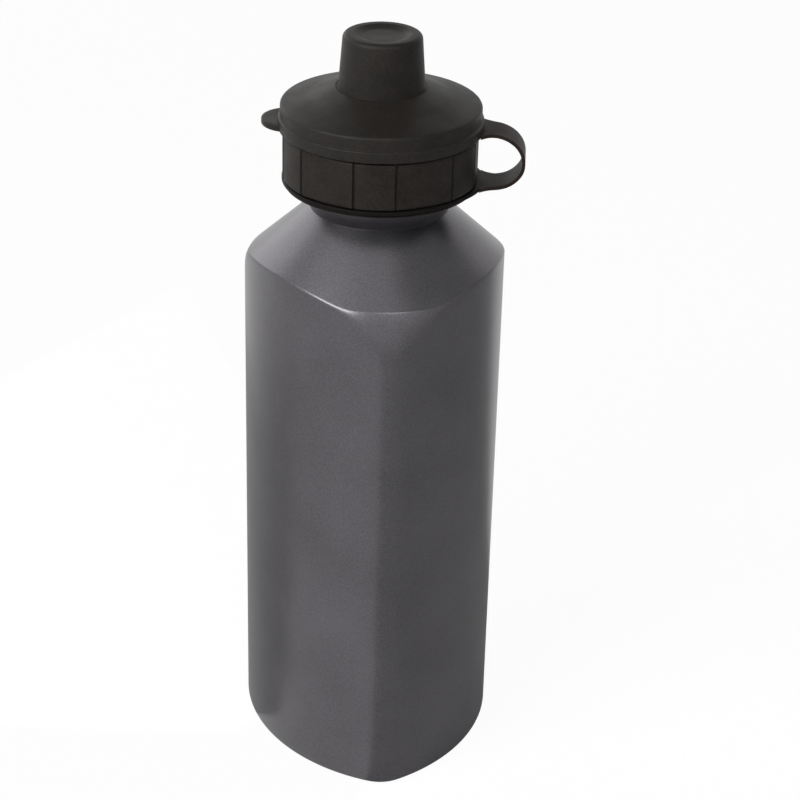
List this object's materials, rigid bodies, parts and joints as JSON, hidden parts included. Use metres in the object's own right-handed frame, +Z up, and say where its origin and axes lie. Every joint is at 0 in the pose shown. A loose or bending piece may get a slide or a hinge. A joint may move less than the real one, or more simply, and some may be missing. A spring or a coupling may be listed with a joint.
{
  "type": "water bottle",
  "caption": "Three-sided aluminium water bottle with a screw cap, a pull-up drinking nozzle and a dust cover on a strap.",
  "frame": {"origin": "on the bottle's axis, in the plane that the bottle stands on, 1 mm below the flat panel in the middle of its base", "axes": "+Z up along the bottle's axis; +X towards the strap that tethers the dust cover; the thumb tab is at -X"},
  "size_m": [0.0772, 0.0731, 0.2133],
  "materials": {
    "dark_aluminium": "dark grey satin, bead-blasted and anodised",
    "cap_plastic": "black moulded polypropylene, matt",
    "cover_plastic": "black moulded polyethylene, matt",
    "nozzle_plastic": "black moulded polyethylene, smooth",
    "silicone": "translucent white silicone rubber, matt"
  },
  "bodies": {
    "bottle": {"bottle_shell": "dark_aluminium"},
    "washer": {"gasket": "silicone"},
    "cap": {"screw_cap": "cap_plastic", "stem_seal": "silicone"},
    "nozzle": {"pull_nozzle": "nozzle_plastic"},
    "tether": {"tether_ring": "cover_plastic", "strap": "cover_plastic"},
    "cover": {"dust_cover": "cover_plastic"}
  },
  "joints": [
    {"name": "cap_rise", "type": "slide", "parent": "bottle", "child": "washer", "axis": [0, 0, 1], "range_m": [0, 0.006]},
    {"name": "cap_turn", "type": "hinge", "parent": "washer", "child": "cap", "pos_m": [0, 0, 0.1733], "axis": [0, 0, 1], "range_deg": [0, 540]},
    {"name": "nozzle_pull", "type": "slide", "parent": "cap", "child": "nozzle", "axis": [0, 0, 1], "range_m": [0, 0.0045]},
    {"name": "tether_turn", "type": "hinge", "parent": "cap", "child": "tether", "pos_m": [0, 0, 0.1733], "axis": [0, 0, 1], "continuous": true},
    {"name": "cover_swing", "type": "hinge", "parent": "tether", "child": "cover", "pos_m": [0.0382, 0, 0.18025], "axis": [0, 1, 0], "range_deg": [0, 150], "deforming": ["strap"]}
  ],
  "couplings": [
    {"joint": "cap_rise", "follows": "cap_turn", "m_per_rad": 0.000636}
  ]
}
